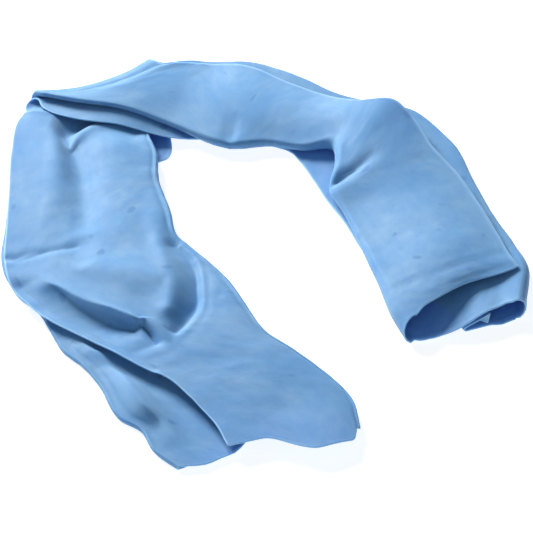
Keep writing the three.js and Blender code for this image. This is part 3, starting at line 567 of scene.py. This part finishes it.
def towel_mesh(middle):
    """The sheet's two faces half a THICKNESS off its middle surface, and a half-round cut edge: the rim
    swings from the upper face to the lower about each point of the border, by cos a of the normal and
    sin a of the outward direction. Nothing goes below the floor."""
    rows, cols = middle.shape[:2]
    normal = normals(middle)
    u, v = along_and_across(middle)
    faces = [middle + normal * side * THICKNESS / 2 for side in (1, -1)]
    border = np.concatenate([
        np.stack([np.zeros(cols, int), np.arange(cols)], axis=1),
        np.stack([np.arange(1, rows), np.full(rows - 1, cols - 1)], axis=1),
        np.stack([np.full(cols - 1, rows - 1), np.arange(cols - 2, -1, -1)], axis=1),
        np.stack([np.arange(rows - 2, 0, -1), np.zeros(rows - 2, int)], axis=1)])
    edge = middle[border[:, 0], border[:, 1]]
    edge_normal = normal[border[:, 0], border[:, 1]]
    tangent = np.roll(edge, -1, axis=0) - np.roll(edge, 1, axis=0)
    outward = np.cross(edge_normal, tangent)
    outward = outward / np.linalg.norm(outward, axis=1, keepdims=True)
    angles = np.arange(1, RIM) / RIM * math.pi
    rim = [edge + THICKNESS / 2 * (math.cos(a) * edge_normal + math.sin(a) * outward) for a in angles]
    points = np.concatenate([faces[0].reshape(-1, 3), faces[1].reshape(-1, 3), *rim])
    points[:, 2] = np.maximum(points[:, 2], 0)
    upper = np.arange(rows * cols).reshape(rows, cols)
    lower = upper + rows * cols
    quads = [
        np.stack([upper[:-1, :-1], upper[1:, :-1], upper[1:, 1:], upper[:-1, 1:]], axis=-1).reshape(-1, 4),
        np.stack([lower[:-1, :-1], lower[:-1, 1:], lower[1:, 1:], lower[1:, :-1]], axis=-1).reshape(-1, 4)]
    count = len(border)
    rings = [upper[border[:, 0], border[:, 1]],
             *[2 * rows * cols + k * count + np.arange(count) for k in range(RIM - 1)],
             lower[border[:, 0], border[:, 1]]]
    for here, below in zip(rings[:-1], rings[1:]):
        quads.append(np.stack([here, np.roll(here, -1), np.roll(below, -1), below], axis=-1))
    flat_u = np.concatenate([u.ravel(), u.ravel(), *[u[border[:, 0], border[:, 1]]] * (RIM - 1)])
    flat_v = np.concatenate([v.ravel(), v.ravel(), *[v[border[:, 0], border[:, 1]]] * (RIM - 1)])
    # Weights of the painted highlight along the cut edge: full on the rim, weaker on the border of the two
    # faces.
    highlight_weight = np.zeros(len(points))
    highlight_weight[2 * rows * cols:] = 1
    highlight_weight[rings[0]] = highlight_weight[rings[-1]] = HIGHLIGHT_BORDER
    return points, np.concatenate(quads), np.stack([flat_u, flat_v], axis=1), highlight_weight


points, quads, sheet_uv, edge_highlight = towel_mesh(middle_surface())
towel_data = bpy.data.meshes.new("towel_cloth")
towel_data.from_pydata(((points - CENTRE) * MM).tolist(), [], quads.tolist())
towel_data.update()
towel_data.polygons.foreach_set("use_smooth", np.ones(len(quads), bool))
uv_layer = towel_data.uv_layers.new(name="sheet")
uv_layer.data.foreach_set("uv", (sheet_uv[quads.ravel()] * MM).astype(np.float32).ravel())
edge_layer = towel_data.attributes.new("edge_highlight", "FLOAT", "POINT")
edge_layer.data.foreach_set("value", edge_highlight.astype(np.float32))
towel = bpy.data.objects.new("towel_cloth", towel_data)
bpy.context.scene.collection.objects.link(towel)


class Socket:
    """A node's output in an expression: + and * add Math nodes."""

    def __init__(self, graph, link):
        self.graph = graph
        self.link = link

    def math(self, operation, first, second):
        """A Math node on two values or sockets."""
        return self.graph.node("ShaderNodeMath", {"operation": operation}, {0: first, 1: second})["Value"]

    def __add__(self, other):
        return self.math("ADD", self, other)

    def __mul__(self, other):
        return self.math("MULTIPLY", self, other)

    __radd__ = __add__
    __rmul__ = __mul__


class Graph:
    """A material's nodes. node() takes a type, its settings and its inputs, and gives its outputs."""

    def __init__(self, name):
        self.material = bpy.data.materials.new(name)
        self.material.use_nodes = True
        self.tree = self.material.node_tree
        self.tree.nodes.clear()

    def node(self, kind, settings, inputs):
        """A node of that kind with its settings set first, then its inputs, as values or as links."""
        made = self.tree.nodes.new(kind)
        for name, value in settings.items():
            setattr(made, name, value)
        for name, value in inputs.items():
            if isinstance(value, Socket):
                self.tree.links.new(value.link, made.inputs[name])
            else:
                made.inputs[name].default_value = value
        return {out.name: Socket(self, out) for out in made.outputs if out.enabled}

    def mix(self, factor, first, second):
        """A Mix node on colours: first * (1 - factor) + second * factor."""
        made = self.tree.nodes.new("ShaderNodeMix")
        made.data_type = "RGBA"
        for index, value in ((0, factor), (6, first), (7, second)):
            if isinstance(value, Socket):
                self.tree.links.new(value.link, made.inputs[index])
            elif index:
                made.inputs[index].default_value = (*value, 1)
            else:
                made.inputs[index].default_value = value
        return Socket(self, made.outputs[2])


# Chamois: a felted sponge cloth, matte, light blue, with a faint cloudy mottle, short fibres and a few
# darker damp spots. Its cut edges carry a painted highlight in a paler blue.
graph = Graph("blue_chamois")
uv = graph.node("ShaderNodeUVMap", {"uv_map": "sheet"}, {})["UV"]


def noise(scale, detail, roughness=0.55, stretch=(1, 1, 1)):
    """Noise on the sheet laid flat, in metres, stretched along and across it."""
    place = graph.node("ShaderNodeMapping", {}, {"Vector": uv, "Scale": stretch})["Vector"]
    return graph.node("ShaderNodeTexNoise", {}, {
        "Vector": place, "Scale": scale, "Detail": detail, "Roughness": roughness})


clouds = noise(22, 3)["Fac"]
mottle = noise(110, 4, 0.6)["Fac"]
fibres = noise(420, 3, 0.6, (1, 0.35, 1))["Fac"]
grain = noise(1500, 2)["Fac"]
cloud_mask = graph.node("ShaderNodeMapRange", {"interpolation_type": "SMOOTHSTEP"}, {
    "Value": clouds, "From Min": 0.3, "From Max": 0.7})["Result"]
mottle_mask = graph.node("ShaderNodeMapRange", {}, {
    "Value": mottle, "From Min": 0.3, "From Max": 0.7})["Result"]
MID_BLUE, LIGHT_BLUE, DEEP_BLUE = (0.105, 0.27, 0.52), (0.16, 0.315, 0.53), (0.07, 0.225, 0.48)
# The first of these is for the damp spots. The second is a paler blue, painted on the cut edges as a
# highlight.
DAMP_BLUE, EDGE_HIGHLIGHT_BLUE = (0.04, 0.15, 0.38), (0.3, 0.52, 0.78)
blue = graph.mix(cloud_mask, MID_BLUE, LIGHT_BLUE)
blue = graph.mix(mottle_mask * 0.5, blue, DEEP_BLUE)
spots = graph.node("ShaderNodeMapRange", {}, {
    "Value": noise(75, 1)["Fac"], "From Min": 0.7, "From Max": 0.76})["Result"]
blue = graph.mix(spots * 0.5, blue, DAMP_BLUE)
edge = graph.node("ShaderNodeAttribute", {"attribute_name": "edge_highlight"}, {})["Fac"]
# Painted highlight: the cut edge and the border beside it are mixed towards a paler blue.
blue = graph.mix(edge * 0.75, blue, EDGE_HIGHLIGHT_BLUE)
height = 0.5 * mottle + 0.35 * fibres + 0.15 * grain
bump = graph.node("ShaderNodeBump", {}, {"Height": height, "Strength": 0.35, "Distance": 0.0006})["Normal"]
roughness = 0.6 + 0.15 * mottle
surface = graph.node("ShaderNodeBsdfPrincipled", {}, {
    "Base Color": blue, "Roughness": roughness, "Normal": bump,
    "Specular IOR Level": 0.3, "Sheen Weight": 0.1, "Sheen Roughness": 0.5,
    "Subsurface Weight": 0.6, "Subsurface Radius": (0.35, 0.65, 1), "Subsurface Scale": 0.003})["BSDF"]
graph.node("ShaderNodeOutputMaterial", {}, {"Surface": surface})
towel_data.materials.append(graph.material)

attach(towel, "root")
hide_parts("towel")

# The studio: a flat white floor, which the photograph shows as plain white, with one large soft light
# above and behind the towel to the left, a weaker fill in front and a pale blue world.
FLOOR_HALF = 3.0
FLOOR_GAP = 0.0002
x, y = np.meshgrid(np.linspace(-FLOOR_HALF, FLOOR_HALF, 3), np.linspace(-FLOOR_HALF, FLOOR_HALF, 3))
floor_points = np.stack([x.ravel(), y.ravel(), 0 * x.ravel() - FLOOR_GAP], axis=1)
cell = np.arange(9).reshape(3, 3)
floor_quads = np.stack([cell[:-1, :-1], cell[:-1, 1:], cell[1:, 1:], cell[1:, :-1]], axis=-1)
floor_data = bpy.data.meshes.new("floor")
floor_data.from_pydata(floor_points.tolist(), [], floor_quads.reshape(-1, 4).tolist())
floor = bpy.data.objects.new("floor", floor_data)
bpy.context.scene.collection.objects.link(floor)
floor_graph = Graph("white_paper")
paper = floor_graph.node("ShaderNodeBsdfPrincipled", {}, {
    "Base Color": (0.5, 0.5, 0.5, 1), "Roughness": 0.9, "Specular IOR Level": 0.1,
    "Emission Color": (1, 1, 1, 1), "Emission Strength": 0.8})["BSDF"]
floor_graph.node("ShaderNodeOutputMaterial", {}, {"Surface": paper})
floor_data.materials.append(floor_graph.material)

world = bpy.data.worlds.new("studio")
world.use_nodes = True
sky = world.node_tree.nodes["Background"].inputs
sky["Color"].default_value = (0.65, 0.86, 1, 1)
sky["Strength"].default_value = 0.28
bpy.context.scene.world = world
bpy.context.scene.view_settings.view_transform = "Standard"


def soft_light(name, place, goal, size, power, colour):
    """A square area light of a size in metres and a power in watts, turned to face goal."""
    lamp = bpy.data.lights.new(name, "AREA")
    lamp.size = size
    lamp.energy = power
    lamp.color = colour
    made = bpy.data.objects.new(name, lamp)
    made.location = place
    made.rotation_euler = (Vector(goal) - Vector(place)).to_track_quat("-Z", "Y").to_euler()
    bpy.context.scene.collection.objects.link(made)


soft_light("back_softbox", place=(-1.1, 1.55, 1.2), goal=(0, 0, 0), size=0.9, power=114,
           colour=(1, 0.95, 0.88))
soft_light("front_fill", place=(-0.6, -1.7, 0.9), goal=(0, 0, 0), size=1.2, power=7,
           colour=(0.8, 0.92, 1))

# The camera: the photograph looks down on the towel at 45 degrees from the front, at the tables' origin.
# Its focal length is judged in pixels of the photograph, which is PHOTO_WIDTH of them wide.
SIGHT = Vector(-CENTRE * MM)
LOOK_DOWN = math.radians(45)
DISTANCE = 1.5
FOCAL_LENGTH = 2400
PHOTO_WIDTH = 533
SENSOR = 36
camera_data = bpy.data.cameras.new("camera")
camera_data.lens = FOCAL_LENGTH / PHOTO_WIDTH * SENSOR
camera_data.sensor_width = SENSOR
camera = bpy.data.objects.new("camera", camera_data)
camera.location = SIGHT + Vector((0, -math.cos(LOOK_DOWN), math.sin(LOOK_DOWN))) * DISTANCE
camera.rotation_euler = (SIGHT - camera.location).to_track_quat("-Z", "Y").to_euler()
bpy.context.scene.collection.objects.link(camera)
bpy.context.scene.camera = camera
